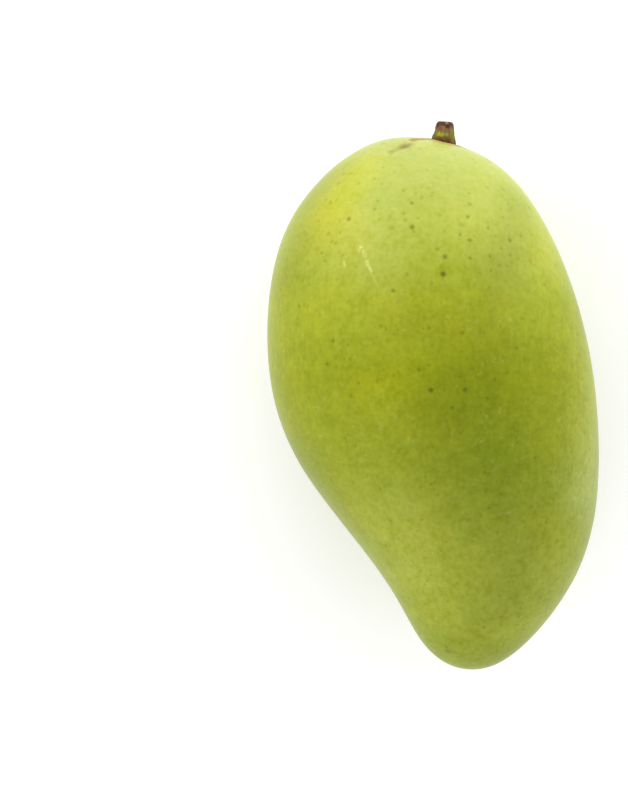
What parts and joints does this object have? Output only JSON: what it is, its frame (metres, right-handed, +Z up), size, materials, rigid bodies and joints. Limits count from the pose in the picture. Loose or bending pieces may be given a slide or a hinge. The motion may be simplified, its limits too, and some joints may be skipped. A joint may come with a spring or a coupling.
{
  "type": "mango",
  "caption": "Long green mango lying on its cheek: broad at the stalk end, hollow-bellied towards a blunt beak, with waxy dotted skin and the stub of its stalk.",
  "frame": {"origin": "on the surface the fruit lies on, under the middle of the whole object's box", "axes": "+Z up from the cheek it lies on; +Y along the fruit towards the stalk; +X towards the fruit's back, the side that its beak leans to"},
  "size_m": [0.0842, 0.1392, 0.0682],
  "materials": {
    "skin": "satin waxy yellow-green fruit skin with fine pale flecks and dark green-brown dots",
    "stalk": "dry woody stalk, brown at the cut and the foot and olive green between"
  },
  "bodies": {
    "root": {"fruit": "skin", "stalk": "stalk"}
  },
  "joints": []
}
